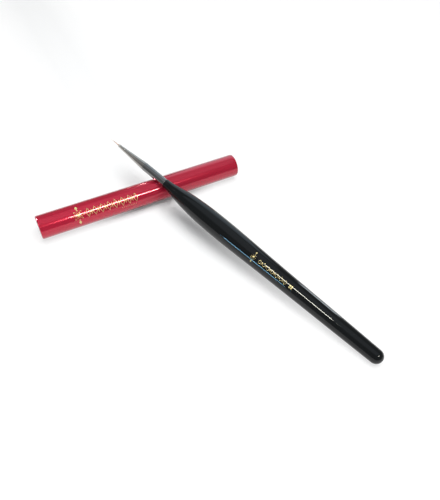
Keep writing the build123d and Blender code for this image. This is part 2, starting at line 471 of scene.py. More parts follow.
def new_piece(name, points, quads, triangles, sharp_degrees=40):
    """A smooth-shaded mesh object at the origin, with its faces turned outwards."""
    halves = np.concatenate([quads[:, [0, 1, 2]], quads[:, [0, 2, 3]], triangles])
    if enclosed_volume(points, halves) < 0:
        quads, triangles = quads[:, ::-1], triangles[:, ::-1]
    mesh = bpy.data.meshes.new(name)
    mesh.from_pydata(points.tolist(), [], quads.tolist() + triangles.tolist())
    mesh.validate()
    mesh.polygons.foreach_set("use_smooth", np.ones(len(mesh.polygons), bool))
    mesh.set_sharp_from_angle(angle=sharp_degrees * DEGREE)
    mesh.update()
    piece = bpy.data.objects.new(name, mesh)
    bpy.context.scene.collection.objects.link(piece)
    return piece


def placed(points, matrix):
    """Points moved by a 4 by 4 matrix."""
    matrix = np.array(matrix)
    return points @ matrix[:3, :3].T + matrix[:3, 3]


def turned_points(outline, segments):
    """The outline turned about X: (x, r) at angle a is (x, r cos a, r sin a).

    Outline points on the axis become single poles at the end of the list.
    """
    on_axis = outline[:, 1] < 1e-9
    rings = outline[~on_axis]
    turn = np.arange(segments) * 2 * math.pi / segments
    x = np.repeat(rings[:, :1], segments, axis=1)
    y = rings[:, 1:] * np.cos(turn)
    z = rings[:, 1:] * np.sin(turn)
    grid = np.stack([x, y, z], axis=-1).reshape(-1, 3)
    poles = np.concatenate([outline[on_axis][:, :1], np.zeros((on_axis.sum(), 2))], axis=1)
    return np.concatenate([grid, poles]), len(rings), on_axis[0], on_axis[-1]


def turned_piece(name, outline, segments, matrix):
    """A piece whose surface is the outline turned about the axis of the matrix."""
    points, rings, first_pole, last_pole = turned_points(outline, segments)
    looped = not (first_pole or last_pole)
    quads, triangles = grid_faces(rings, segments, first_pole, last_pole, looped)
    return new_piece(name, placed(points, matrix), quads, triangles)


def shell_piece(name, outside, lining, segments, matrix):
    """A turned skin with an inner wall: both outlines meet at the first one's start."""
    outer_points, outer_rings, _, _ = turned_points(outside, segments)
    inner_points, inner_rings, _, _ = turned_points(lining[:-1], segments)
    outer_quads, outer_fans = grid_faces(outer_rings, segments, False, True, False)
    inner_quads, inner_fans = grid_faces(inner_rings, segments, True, False, False)
    base = len(outer_points)
    step = np.arange(segments)
    after = (step + 1) % segments
    last = base + (inner_rings - 1) * segments
    bridge = np.stack([last + step, last + after, after, step], axis=-1)
    quads = np.concatenate([outer_quads, inner_quads + base, bridge])
    triangles = np.concatenate([outer_fans, inner_fans + base])
    points = placed(np.concatenate([outer_points, inner_points]), matrix)
    return new_piece(name, points, quads, triangles)


def many(points, quads, triangles, copies):
    """Face lists for copies of one shape whose points follow each other."""
    offset = (np.arange(copies) * points)[:, None, None]
    return (quads + offset).reshape(-1, 4), (triangles + offset).reshape(-1, 3)


def finish_piece(piece, body, slot, material, *nodes):
    """Gives a piece its material and its body, and hides the nodes that it stands for. The slot is not used."""
    piece.data.materials.append(material)
    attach(piece, body)
    if nodes:
        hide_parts(*nodes)


def write_attribute(piece, name, values):
    """Stores one number for each point of a piece's mesh."""
    attribute = piece.data.attributes.new(name, "FLOAT", "POINT")
    attribute.data.foreach_set("value", values.astype(np.float32).ravel())


# --------------------------------------------------------------------- material helpers
def node(tree, kind, **values):
    """A new node, with its own settings and the defaults of its named inputs."""
    made = tree.nodes.new(kind)
    for key, value in values.items():
        if hasattr(made, key):
            setattr(made, key, value)
        else:
            made.inputs[key.replace("_", " ")].default_value = value
    return made


def new_material(name):
    """A material with its Principled shader, and the two as (material, tree, shader)."""
    material = bpy.data.materials.new(name)
    material.use_nodes = True
    tree = material.node_tree
    tree.nodes.clear()
    shader = tree.nodes.new("ShaderNodeBsdfPrincipled")
    output = tree.nodes.new("ShaderNodeOutputMaterial")
    tree.links.new(shader.outputs["BSDF"], output.inputs["Surface"])
    return material, tree, shader


def local_coordinates(tree, matrix):
    """Object coordinates turned so that X runs along the piece's axis, in metres."""
    source = tree.nodes.new("ShaderNodeTexCoord")
    mapping = tree.nodes.new("ShaderNodeMapping")
    mapping.vector_type = "TEXTURE"
    mapping.inputs["Location"].default_value = matrix.translation
    mapping.inputs["Rotation"].default_value = matrix.to_euler()
    tree.links.new(source.outputs["Object"], mapping.inputs["Vector"])
    return mapping.outputs["Vector"]


def new_group(name, inputs, outputs):
    """An empty shader node group with named float or vector sockets."""
    tree = bpy.data.node_groups.new(name, "ShaderNodeTree")
    kinds = {"vector": "NodeSocketVector", "value": "NodeSocketFloat"}
    for title, kind in inputs:
        tree.interface.new_socket(name=title, in_out="INPUT", socket_type=kinds[kind])
    for title, kind in outputs:
        tree.interface.new_socket(name=title, in_out="OUTPUT", socket_type=kinds[kind])
    return tree, tree.nodes.new("NodeGroupInput"), tree.nodes.new("NodeGroupOutput")


def feed(tree, value, socket):
    """Gives an input its value: a link when the value is a socket, else a plain number."""
    if isinstance(value, bpy.types.NodeSocket):
        tree.links.new(value, socket)
    else:
        socket.default_value = value


def maths(tree, operation, *values):
    """The result of a Math node, whose values are sockets or plain numbers."""
    made = node(tree, "ShaderNodeMath", operation=operation)
    for slot, value in enumerate(values):
        feed(tree, value, made.inputs[slot])
    return made.outputs["Value"]


def scaled_vector(tree, vector, level):
    """A vector or colour socket times a value."""
    made = node(tree, "ShaderNodeVectorMath", operation="SCALE")
    tree.links.new(vector, made.inputs[0])
    feed(tree, level, made.inputs["Scale"])
    return made.outputs["Vector"]


def x_part(tree, vector):
    """The X part of a vector socket."""
    split = tree.nodes.new("ShaderNodeSeparateXYZ")
    tree.links.new(vector, split.inputs["Vector"])
    return split.outputs["X"]


def for_rays(tree, kind, level):
    """One for every ray but those of a kind, which get a level of their own."""
    path = tree.nodes.new("ShaderNodeLightPath")
    return ranged(tree, path.outputs[kind], 0, 1, 1, level)


def streaks_group():
    """Fine marks that run along the piece: noise on coordinates squeezed along X."""
    if "drawn_streaks" in bpy.data.node_groups:
        return bpy.data.node_groups["drawn_streaks"]
    tree, inside, outside = new_group(
        "drawn_streaks",
        [("Vector", "vector"), ("Across", "value"), ("Along", "value")],
        [("Streaks", "value")],
    )
    combine = tree.nodes.new("ShaderNodeCombineXYZ")
    tree.links.new(inside.outputs["Along"], combine.inputs["X"])
    tree.links.new(inside.outputs["Across"], combine.inputs["Y"])
    tree.links.new(inside.outputs["Across"], combine.inputs["Z"])
    scaled = node(tree, "ShaderNodeVectorMath", operation="MULTIPLY")
    tree.links.new(inside.outputs["Vector"], scaled.inputs[0])
    tree.links.new(combine.outputs["Vector"], scaled.inputs[1])
    noise = node(tree, "ShaderNodeTexNoise", Scale=1.0, Detail=4.0, Roughness=0.6)
    tree.links.new(scaled.outputs["Vector"], noise.inputs["Vector"])
    tree.links.new(noise.outputs["Fac"], outside.inputs["Streaks"])
    return tree


def waviness_group():
    """Slow unevenness of a coat: a wide noise with a finer one added at a fifth of it."""
    if "coat_waviness" in bpy.data.node_groups:
        return bpy.data.node_groups["coat_waviness"]
    tree, inside, outside = new_group(
        "coat_waviness",
        [("Vector", "vector"), ("Scale", "value")],
        [("Height", "value"), ("Patches", "value")],
    )
    wide = node(tree, "ShaderNodeTexNoise", Detail=1.0, Roughness=0.4)
    tree.links.new(inside.outputs["Vector"], wide.inputs["Vector"])
    tree.links.new(inside.outputs["Scale"], wide.inputs["Scale"])
    small = node(tree, "ShaderNodeTexNoise", Detail=2.0, Roughness=0.5)
    tree.links.new(inside.outputs["Vector"], small.inputs["Vector"])
    feed(tree, maths(tree, "MULTIPLY", inside.outputs["Scale"], 4.0), small.inputs["Scale"])
    mixed = maths(tree, "MULTIPLY_ADD", small.outputs["Fac"], 0.2, wide.outputs["Fac"])
    tree.links.new(mixed, outside.inputs["Height"])
    tree.links.new(small.outputs["Fac"], outside.inputs["Patches"])
    return tree


def specks_group():
    """Sparse dust and tiny nibs: places near the middle of a Voronoi cell, in few cells."""
    if "fine_specks" in bpy.data.node_groups:
        return bpy.data.node_groups["fine_specks"]
    tree, inside, outside = new_group(
        "fine_specks",
        [("Vector", "vector"), ("Scale", "value"), ("Size", "value"), ("Share", "value")],
        [("Mask", "value")],
    )
    cells = node(tree, "ShaderNodeTexVoronoi", feature="F1")
    tree.links.new(inside.outputs["Vector"], cells.inputs["Vector"])
    tree.links.new(inside.outputs["Scale"], cells.inputs["Scale"])
    near = maths(tree, "LESS_THAN", cells.outputs["Distance"], inside.outputs["Size"])
    split = tree.nodes.new("ShaderNodeSeparateColor")
    tree.links.new(cells.outputs["Color"], split.inputs["Color"])
    chosen = maths(tree, "LESS_THAN", split.outputs["Red"], inside.outputs["Share"])
    tree.links.new(maths(tree, "MULTIPLY", near, chosen), outside.inputs["Mask"])
    return tree


def use_group(tree, group, vector, **values):
    """Places a shared group in a material, with its own values."""
    made = tree.nodes.new("ShaderNodeGroup")
    made.node_tree = group
    tree.links.new(vector, made.inputs["Vector"])
    for key, value in values.items():
        made.inputs[key].default_value = value
    return made


def blend_colours(tree, factor, first, second, kind="MIX"):
    """Two colours blended by a factor; each may be a socket or a plain value."""
    mix = node(tree, "ShaderNodeMix", data_type="RGBA", blend_type=kind)
    feed(tree, factor, mix.inputs["Factor"])
    for name, value in (("A", first), ("B", second)):
        plain = not isinstance(value, bpy.types.NodeSocket)
        feed(tree, (*value, 1) if plain else value, mix.inputs[name])
    return mix.outputs["Result"]


def ranged(tree, value, low, high, to_low, to_high):
    """A value socket carried from one range to another."""
    made = tree.nodes.new("ShaderNodeMapRange")
    made.inputs["From Min"].default_value = low
    made.inputs["From Max"].default_value = high
    made.inputs["To Min"].default_value = to_low
    made.inputs["To Max"].default_value = to_high
    tree.links.new(value, made.inputs["Value"])
    return made.outputs["Result"]


def bump(tree, shader, height, strength, distance, before=None):
    """A bump from a height socket, which may follow another bump."""
    made = node(tree, "ShaderNodeBump", Strength=strength, Distance=distance)
    tree.links.new(height, made.inputs["Height"])
    if before is not None:
        tree.links.new(before, made.inputs["Normal"])
    tree.links.new(made.outputs["Normal"], shader.inputs["Normal"])
    return made.outputs["Normal"]


def shade(base, factor):
    """A colour times a factor."""
    return tuple(min(1.0, channel * factor) for channel in base)


# -------------------------------------------------------------------------- materials
def red_anodised(dye, matrix):
    """Drawn aluminium under a clear dyed oxide: satin metal with a glossy top.

    The colour is a touch darker towards the mouth. The red that the tube throws on the floor is
    held back, so that the floor stays neutral.
    """
    material, tree, shader = new_material("red_anodised")
    along = local_coordinates(tree, matrix)
    streaks = use_group(tree, streaks_group(), along, Across=2600.0, Along=45.0)
    wavy = use_group(tree, waviness_group(), along, Scale=140.0)
    tone = blend_colours(tree, streaks.outputs["Streaks"], shade(dye, 0.88), shade(dye, 1.12))
    # Darker from 20 mm to 54 mm along the tube, and as dark from there to the mouth.
    darker_to_mouth = ranged(tree, x_part(tree, along), 20 * MM, 54 * MM, 1, 0.86)
    level = maths(tree, "MULTIPLY", darker_to_mouth, for_rays(tree, "Is Diffuse Ray", 0.3))
    tree.links.new(scaled_vector(tree, tone, level), shader.inputs["Base Color"])
    rough = ranged(tree, streaks.outputs["Streaks"], 0.3, 0.7, 0.12, 0.19)
    tree.links.new(rough, shader.inputs["Roughness"])
    shader.inputs["Metallic"].default_value = 0.4
    shader.inputs["Coat Weight"].default_value = 1.0
    shader.inputs["Coat Roughness"].default_value = 0.035
    shader.inputs["Coat IOR"].default_value = 1.5
    first = bump(tree, shader, wavy.outputs["Height"], 0.06, 0.0001)
    bump(tree, shader, streaks.outputs["Streaks"], 0.06, 0.00002, first)
    return material


def black_lacquer(base, matrix):
    """Thick glossy dipped coat with slow waves, faint haze and a few nibs."""
    material, tree, shader = new_material("black_lacquer")
    along = local_coordinates(tree, matrix)
    wavy = use_group(tree, waviness_group(), along, Scale=260.0)
    specks = use_group(tree, specks_group(), along, Scale=900.0, Size=0.09, Share=0.05)
    tone = blend_colours(tree, wavy.outputs["Patches"], shade(base, 0.8), shade(base, 1.4))
    tree.links.new(tone, shader.inputs["Base Color"])
    rough = ranged(tree, wavy.outputs["Patches"], 0.3, 0.7, 0.03, 0.07)
    tree.links.new(rough, shader.inputs["Roughness"])
    shader.inputs["IOR"].default_value = 1.5
    first = bump(tree, shader, wavy.outputs["Height"], 0.12, 0.0001)
    bump(tree, shader, specks.outputs["Mask"], 0.2, 0.00001, first)
    return material


def nickel_plate(sizes, matrix):
    """Bright plate over drawn brass: paler and warmer towards the mouth, finely drawn.

    The tone steps down behind the ring at the cone's end.
    """
    material, tree, shader = new_material("nickel_plate")
    along = local_coordinates(tree, matrix)
    streaks = use_group(tree, streaks_group(), along, Across=7000.0, Along=120.0)
    wavy = use_group(tree, waviness_group(), along, Scale=900.0)
    from_mouth = x_part(tree, along)
    distance = ranged(tree, from_mouth, 0.0, sizes.cone_length, 0.0, 1.0)
    # Paler and warmer from the cone's end towards the mouth.
    cone = blend_colours(tree, distance, sizes.mouth_plate, sizes.cone_plate)
    behind = maths(tree, "GREATER_THAN", from_mouth, sizes.cone_length)
    tone = blend_colours(tree, behind, cone, sizes.plate)
    dull = blend_colours(tree, 0.35, tone, streaks.outputs["Streaks"], "MULTIPLY")
    tree.links.new(dull, shader.inputs["Base Color"])
    rough = ranged(tree, wavy.outputs["Patches"], 0.3, 0.7, 0.07, 0.14)
    tree.links.new(rough, shader.inputs["Roughness"])
    shader.inputs["Metallic"].default_value = 1.0
    bump(tree, shader, streaks.outputs["Streaks"], 0.15, 0.00001)
    return material


def gold_foil(base):
    """Hot-stamped foil: slightly crinkled gold with a soft sheen."""
    material, tree, shader = new_material("gold_foil")
    source = tree.nodes.new("ShaderNodeTexCoord").outputs["Object"]
    wavy = use_group(tree, waviness_group(), source, Scale=2500.0)
    tone = blend_colours(tree, wavy.outputs["Patches"], shade(base, 0.8), shade(base, 1.15))
    tree.links.new(tone, shader.inputs["Base Color"])
    rough = ranged(tree, wavy.outputs["Patches"], 0.3, 0.7, 0.28, 0.42)
    tree.links.new(rough, shader.inputs["Roughness"])
    shader.inputs["Metallic"].default_value = 0.6
    bump(tree, shader, wavy.outputs["Height"], 0.2, 0.00002)
    return material


def brush_hair(root, tip):
    """Fine hair, lighter towards the points, with each strand a little different."""
    material, tree, shader = new_material("brush_hair")
    place = node(tree, "ShaderNodeAttribute", attribute_name="along_strand")
    own = node(tree, "ShaderNodeAttribute", attribute_name="strand_tone")
    tone = blend_colours(tree, place.outputs["Fac"], root, tip)
    varied = blend_colours(tree, 0.5, tone, own.outputs["Fac"], "MULTIPLY")
    tree.links.new(varied, shader.inputs["Base Color"])
    rough = ranged(tree, own.outputs["Fac"], 0.0, 1.0, 0.35, 0.5)
    tree.links.new(rough, shader.inputs["Roughness"])
    return material


def inner_material(name, dark, light, matrix, across, lengthways, rough):
    """A plain material for a hidden piece: two tones in streaks along its axis."""
    material, tree, shader = new_material(name)
    along = local_coordinates(tree, matrix)
    streaks = use_group(tree, streaks_group(), along, Across=across, Along=lengthways)
    tone = blend_colours(tree, streaks.outputs["Streaks"], dark, light)
    tree.links.new(tone, shader.inputs["Base Color"])
    uneven = ranged(tree, streaks.outputs["Streaks"], 0.3, 0.7, *rough)
    tree.links.new(uneven, shader.inputs["Roughness"])
    bump(tree, shader, streaks.outputs["Streaks"], 0.2, 0.00003)
    return material


def studio_floor(settings, calm_x):
    """Plain pale floor that turns into a glowing one to the left and right of a calm strip.

    With the distance from the strip's middle the lit share falls and the glow rises, both
    in even steps, so shadows fade while the floor stays as bright. Reflections show the
    floor a little darker than the eye does.
    """
    base = settings.floor_colour
    material, tree, shader = new_material("studio_floor")
    source = tree.nodes.new("ShaderNodeTexCoord").outputs["Object"]
    wavy = use_group(tree, waviness_group(), source, Scale=40.0)
    tone = blend_colours(tree, wavy.outputs["Patches"], shade(base, 0.995), shade(base, 1.005))
    away = maths(tree, "ABSOLUTE", maths(tree, "SUBTRACT", x_part(tree, source), calm_x))
    near, far = settings.glow_from, settings.glow_to
    lit = ranged(tree, away, near, far, 1, settings.lit_share)
    glow = ranged(tree, away, near, far, settings.calm_glow, settings.glow)
    seen = for_rays(tree, "Is Glossy Ray", settings.floor_in_gloss)
    dimmed = scaled_vector(tree, tone, maths(tree, "MULTIPLY", lit, seen))
    tree.links.new(dimmed, shader.inputs["Base Color"])
    tree.links.new(maths(tree, "MULTIPLY", glow, seen), shader.inputs["Emission Strength"])
    shader.inputs["Emission Color"].default_value = (1, 1, 1, 1)
    shader.inputs["Roughness"].default_value = 0.9
    shader.inputs["Specular IOR Level"].default_value = 0.0
    return material


# --------------------------------------------------------------------------- ornaments
def lens_copies(centres, half_sizes, shape, rings=4, turn=24):
    """Thin raised pads on a flat sheet, one at each centre, as an array of points.

    A pad's edge is at shape(angle) times its half sizes. Its top stands at one minus the
    fourth power of the share of the way out, and its underside mirrors its top.
    """
    turns = np.arange(turn) * 2 * math.pi / turn
    out = np.sin(np.linspace(0, math.pi, 2 * rings + 1))[1:-1]
    lift = np.where(np.arange(2 * rings - 1) < rings, 1, -1) * (1 - out**4)
    edge = shape(turns)
    flat_x = out[:, None] * edge * np.cos(turns)
    flat_y = out[:, None] * edge * np.sin(turns)
    height = np.repeat(lift[:, None], turn, axis=1)
    pad = np.stack([flat_x, flat_y, height], axis=-1).reshape(-1, 3)
    poles = np.array([[0, 0, 1.0], [0, 0, -1.0]])
    pad = np.concatenate([pad, poles])
    centres, half_sizes = np.atleast_2d(centres), np.atleast_2d(half_sizes)
    points = pad[None] * np.concatenate([half_sizes, np.ones((len(half_sizes), 1))], 1)[:, None]
    points[..., :2] += centres[:, None]
    faces = grid_faces(2 * rings - 1, turn, True, True, False)
    return points, faces


def ring_copies(centres, half_sizes, shape, band, turn=32, section=8):
    """Thin raised rings on a flat sheet, one at each centre, as an array of points.

    A ring's middle line is at shape(angle) times its half sizes, and its section is an
    ellipse that is band wide and reaches from minus one to one in height.
    """
    turns = np.arange(turn) * 2 * math.pi / turn
    rounds = np.arange(section) * 2 * math.pi / section
    centres, half_sizes = np.atleast_2d(centres), np.atleast_2d(half_sizes)
    edge = shape(turns)[None, :, None]
    side_x = half_sizes[:, 0, None, None] + band / 2 * np.cos(rounds)
    side_y = half_sizes[:, 1, None, None] + band / 2 * np.cos(rounds)
    x = edge * np.cos(turns)[:, None] * side_x + centres[:, 0, None, None]
    y = edge * np.sin(turns)[:, None] * side_y + centres[:, 1, None, None]
    height = np.broadcast_to(np.sin(rounds), x.shape)
    points = np.stack([x, y, height], axis=-1).reshape(len(centres), -1, 3)
    return points, grid_faces(turn, section, False, False, True)


def diamond(turns):
    """Edge of a diamond: one over the sum of the cosine's and sine's sizes."""
    return 1 / (np.abs(np.cos(turns)) + np.abs(np.sin(turns)))


def round_edge(turns):
    """Edge of a circle."""
    return np.ones_like(turns)


def petal_edge(turns):
    """Edge of a rosette with eight petals: a circle with a cosine wave on it."""
    return 0.72 + 0.28 * np.cos(8 * turns)


def bar_edge(turns):
    """Edge of a bar with rounded ends: a circle with the sixth power in place of the second."""
    return (np.abs(np.cos(turns)) ** 6 + np.abs(np.sin(turns)) ** 6) ** (-1 / 6)


def ornament_parts(sizes):
    """The stamped ornament on a flat sheet: x along the piece, y round it.

    A rosette with a diamond above and below it comes first. A border of diamond rings
    follows, with a slim diamond between each two.
    """
    wide, tall, line = sizes.motif_along, sizes.motif_round, sizes.line_width
    total = round(sizes.border_along / sizes.pitch)
    step = sizes.border_along / total
    middles = sizes.border_at + step * (np.arange(total) + 0.5)
    between = middles[:-1] + step / 2
    ring = (step * 0.3, (sizes.border_round - line) / 2)
    slim = (line * 0.75, sizes.border_round * 0.36)
    rosette = (wide - line) / 2
    centre, above, below = ((sizes.motif_at, tall * side) for side in (0, 0.41, -0.41))
    return [
        ring_copies(centre, (rosette, rosette), petal_edge, line, 96),
        lens_copies(centre, (rosette * 0.45, rosette * 0.45), petal_edge, 4, 64),
        lens_copies([above, below], [(wide * 0.13, tall * 0.13)] * 2, diamond),
        ring_copies(np.stack([middles, middles * 0], 1), [ring] * total, diamond, line, 24),
        lens_copies(np.stack([between, between * 0], 1), [slim] * len(between), diamond),
    ]


def stamped_piece(name, parts, wrap):
    """One mesh from all the parts of an ornament, carried onto a surface by wrap."""
    points, quads, triangles, used = [], [], [], 0
    for copies, (part_quads, part_triangles) in parts:
        total, size = copies.shape[:2]
        more_quads, more_triangles = many(size, part_quads, part_triangles, total)
        points.append(copies.reshape(-1, 3))
        quads.append(more_quads + used)
        triangles.append(more_triangles + used)
        used += total * size
    flat = np.concatenate(points)
    return new_piece(name, wrap(flat), np.concatenate(quads), np.concatenate(triangles), 60)


# --------------------------------------------------------------------------- operators
class BRUSH_OT_cap(bpy.types.Operator):
    """Add the cap: a closed tube with a rounded end and a bevelled mouth"""

    bl_idname = "detail_brush.cap"
    bl_label = "Cap"

    def execute(self, context):
        sizes = context.scene.brush_cap
        start, total, outer, bore = cap_place()
        rounding, inner = sizes.edge_round, sizes.inner_round
        chamfer, depth, floor = sizes.mouth_chamfer, sizes.bevel_depth, sizes.end_thickness
        outline = joined(
            straight((0, 0), (0, outer - rounding)),
            arc((rounding, outer - rounding), rounding, math.pi, math.pi / 2),
            straight((rounding, outer), (total - sizes.bevel_length, outer), 40),
            straight((total - sizes.bevel_length, outer), (total, outer - depth), 4),
            straight((total, outer - depth), (total, bore + chamfer), 4),
            straight((total, bore + chamfer), (total - chamfer, bore), 2),
            straight((total - chamfer, bore), (floor + inner, bore), 40),
            arc((floor + inner, bore - inner), inner, math.pi / 2, math.pi),
            straight((floor, bore - inner), (floor, 0)),
        )
        matrix = Matrix.Translation(start)
        piece = turned_piece("cap_shell", outline, sizes.segments, matrix)
        material = red_anodised(sizes.dye, matrix)
        finish_piece(piece, "cap", "red_anodised", material, "cap_tube")
        return {"FINISHED"}


class BRUSH_OT_cap_ornament(bpy.types.Operator):
    """Add the gold ornament that is stamped along the cap"""

    bl_idname = "detail_brush.cap_ornament"
    bl_label = "Cap ornament"

    def execute(self, context):
        foil, sizes = context.scene.brush_foil, context.scene.brush_cap_ornament
        start, _, outer, _ = cap_place()
        parts = ornament_parts(sizes)
        row = sizes.dots_at + sizes.dots_along * np.linspace(0, 1, sizes.dots)
        dots = np.stack([row, np.full(sizes.dots, -sizes.dots_below)], 1)
        dot = (sizes.line_width * 0.55, sizes.line_width * 0.4)
        parts.append(lens_copies(dots, [dot] * sizes.dots, round_edge, 3, 12))

        def wrap(flat):
            """Distance round the tube becomes an angle about its axis from straight up."""
            turn = sizes.middle_angle - flat[:, 1] / outer
            radius = outer + flat[:, 2] * foil.thickness
            around = np.stack([flat[:, 0], -radius * np.sin(turn), radius * np.cos(turn)], 1)
            return around + np.array(start)

        piece = stamped_piece("cap_ornament", parts, wrap)
        finish_piece(piece, "cap", "gold_foil", gold_foil(foil.foil))
        return {"FINISHED"}


class BRUSH_OT_handle(bpy.types.Operator):
    """Add the handle's lacquer skin, with its belly, long taper and rounded end"""

    bl_idname = "detail_brush.handle"
    bl_label = "Handle"

    def execute(self, context):
        scene = context.scene
        sizes, ferrule = scene.brush_handle, scene.brush_ferrule
        start = ferrule.ferrule_length
        outside = handle_outline(sizes, ferrule, 0)
        inside = handle_outline(sizes, ferrule, sizes.lacquer_thickness)[::-1]
        hole = ferrule.rear_diameter / 2 - ferrule.wall
        tip = (start + sizes.lacquer_thickness, hole)
        outline = joined(
            straight(tip, (start, hole), 2),
            straight((start, hole), outside[0], 4),
            outside,
        )
        lining = joined(inside, straight(inside[-1], tip, 2))
        matrix = brush_matrix(scene)
        piece = shell_piece("handle_skin", outline, lining, sizes.segments, matrix)
        material = black_lacquer(sizes.lacquer, matrix)
        finish_piece(piece, "brush", "black_lacquer", material, "handle_lacquer")
        return {"FINISHED"}


class BRUSH_OT_handle_ornament(bpy.types.Operator):
    """Add the gold ornament that is stamped along the handle"""

    bl_idname = "detail_brush.handle_ornament"
    bl_label = "Handle ornament"

    def execute(self, context):
        scene = context.scene
        foil, sizes = scene.brush_foil, scene.brush_handle_ornament
        outline = handle_outline(scene.brush_handle, scene.brush_ferrule, 0)
        matrix = brush_matrix(scene)
        parts = ornament_parts(sizes)
        sides = np.array([(-1, 1), (-1, -1), (1, 1), (1, -1)]) / 2
        corners = (sizes.pads_at, 0) + sides * (sizes.pads_along, sizes.pads_round)
        pad = (sizes.pad_half_along, sizes.pad_half_round)
        parts.append(lens_copies(corners, [pad] * len(corners), bar_edge))

        def wrap(flat):
            """Height stands on the handle's radius at that distance along the axis."""
            radius = np.interp(flat[:, 0], outline[:, 0], outline[:, 1])
            turn = sizes.middle_angle - flat[:, 1] / radius
            radius = radius + flat[:, 2] * foil.thickness
            around = np.stack([flat[:, 0], -radius * np.sin(turn), radius * np.cos(turn)], 1)
            return placed(around, matrix)

        piece = stamped_piece("handle_ornament", parts, wrap)
        finish_piece(piece, "brush", "gold_foil", bpy.data.materials["gold_foil"])
        return {"FINISHED"}


class BRUSH_OT_ferrule(bpy.types.Operator):
    """Add the ferrule: a drawn tube with a long cone, a fine ring and a rolled mouth"""

    bl_idname = "detail_brush.ferrule"
    bl_label = "Ferrule"

    def execute(self, context):
        sizes = context.scene.brush_ferrule
        mouth, step = sizes.mouth_diameter / 2, sizes.step_diameter / 2
        rear = sizes.rear_diameter / 2
        cone, total = sizes.cone_length, sizes.ferrule_length
        half, lip = sizes.groove_width / 2, sizes.mouth_wall / 2
        slope = (step - mouth) / cone
        bore_lip = mouth - sizes.mouth_wall
        outline = joined(
            arc((lip, mouth - lip), lip, math.pi * 1.5, math.pi / 2, 12),
            straight((lip, mouth), (cone - half, step - half * slope), 40),
            groove(cone, half, step, sizes.groove_depth, slope),
            straight((cone + half, step), (total, rear), 24),
            straight((total, rear), (total, rear - sizes.wall), 3),
            straight((total, rear - sizes.wall), (cone, step - sizes.wall), 16),
            straight((cone, step - sizes.wall), (lip, bore_lip), 24),
        )
        matrix = brush_matrix(context.scene)
        piece = turned_piece("ferrule_skin", outline[:-1], sizes.segments, matrix)
        material = nickel_plate(sizes, matrix)
        finish_piece(piece, "brush", "nickel_plate", material, "ferrule")
        return {"FINISHED"}


class BRUSH_OT_hair(bpy.types.Operator):
    """Add the hair: tapered strands that draw together into one fine point"""

    bl_idname = "detail_brush.hair"
    bl_label = "Hair"

    def execute(self, context):
        sizes = context.scene.brush_hair
        strands, sides, rings = sizes.strands, sizes.sides, sizes.rings
        chance = np.random.default_rng(7)
        index = np.arange(strands)
        spread = np.sqrt((index + 0.5) / strands)
        turn = index * GOLDEN_ANGLE
        uneven = sizes.uneven_ends * chance.random(strands)
        reach = sizes.out_length * (1 - sizes.outer_shorter * spread**2 - uneven)
        reach[0] = sizes.out_length
        share = np.linspace(0, 1, rings)
        away = -sizes.hidden_length + share[None] * (reach[:, None] + sizes.hidden_length)
        free = np.clip(away / sizes.out_length, 0, 1)
        root = (sizes.bundle_diameter - sizes.strand_diameter) / 2
        slowly, early = (1 - free) ** 0.7, np.exp(-9 * free) * (1 - free)
        bundle = root * ((1 - sizes.quick_taper) * slowly + sizes.quick_taper * early)
        wave_turn = chance.random(strands) * 2 * math.pi
        wave = sizes.wave * free * np.sin(6 * free + wave_turn[:, None])
        middle_y = spread[:, None] * bundle * np.cos(turn)[:, None] + wave
        middle_z = spread[:, None] * bundle * np.sin(turn)[:, None] + wave
        thick = sizes.strand_diameter * (1 - share**3) + sizes.tip_diameter * share**3
        around = np.arange(sides) * 2 * math.pi / sides
        radius = np.broadcast_to(thick[None, :, None] / 2, (strands, rings, sides))
        y = middle_y[..., None] + radius * np.cos(around)
        z = middle_z[..., None] + radius * np.sin(around)
        x = np.broadcast_to(-away[..., None], y.shape)
        tubes = np.stack([x, y, z], axis=-1).reshape(strands, -1, 3)
        ends = np.stack([-away, middle_y, middle_z], axis=-1)[:, [0, -1]]
        points = np.concatenate([tubes, ends], axis=1)
        faces = grid_faces(rings, sides, True, True, False)
        quads, triangles = many(points.shape[1], *faces, strands)
        matrix = brush_matrix(context.scene)
        flat = placed(points.reshape(-1, 3), matrix)
        piece = new_piece("hair_strands", flat, quads, triangles, 80)
        station = np.concatenate([np.repeat(free, sides, axis=1), free[:, [0, -1]]], axis=1)
        write_attribute(piece, "along_strand", station)
        tone = 0.45 + 0.55 * chance.random(strands)
        write_attribute(piece, "strand_tone", np.repeat(tone[:, None], points.shape[1], axis=1))
        piece.data.materials.append(brush_hair(sizes.root_colour, sizes.tip_colour))
        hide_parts("hair_tuft")
        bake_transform(piece)
        return {"FINISHED"}


class BRUSH_OT_inner_parts(bpy.types.Operator):
    """Give the wood, glue, resin, thread and hair roots their materials"""

    bl_idname = "detail_brush.inner_parts"
    bl_label = "Inner parts"

    def execute(self, context):
        matrix = brush_matrix(context.scene)
        wood = inner_material(
            "turned_wood", (0.36, 0.22, 0.11), (0.66, 0.46, 0.27), matrix, 1500, 60, (0.5, 0.7)
        )
        resin = inner_material(
            "set_resin", (0.32, 0.23, 0.1), (0.52, 0.4, 0.2), matrix, 900, 700, (0.1, 0.25)
        )
        roots = inner_material(
            "hair_roots", (0.25, 0.1, 0.03), (0.5, 0.26, 0.1), matrix, 16000, 200, (0.4, 0.6)
        )
        thread = inner_material(
            "waxed_thread", (0.6, 0.57, 0.48), (0.86, 0.84, 0.76), matrix, 3000, 9000, (0.5, 0.7)
        )
        materials = {
            "handle_core": wood,
            "ferrule_glue": resin,
            "setting_resin": resin,
            "hair_root": roots,
            "binding_thread": thread,
        }
        for name, material in materials.items():
            mesh = frame["nodes"][name].data
            mesh.materials.clear()
            mesh.materials.append(material)
        return {"FINISHED"}


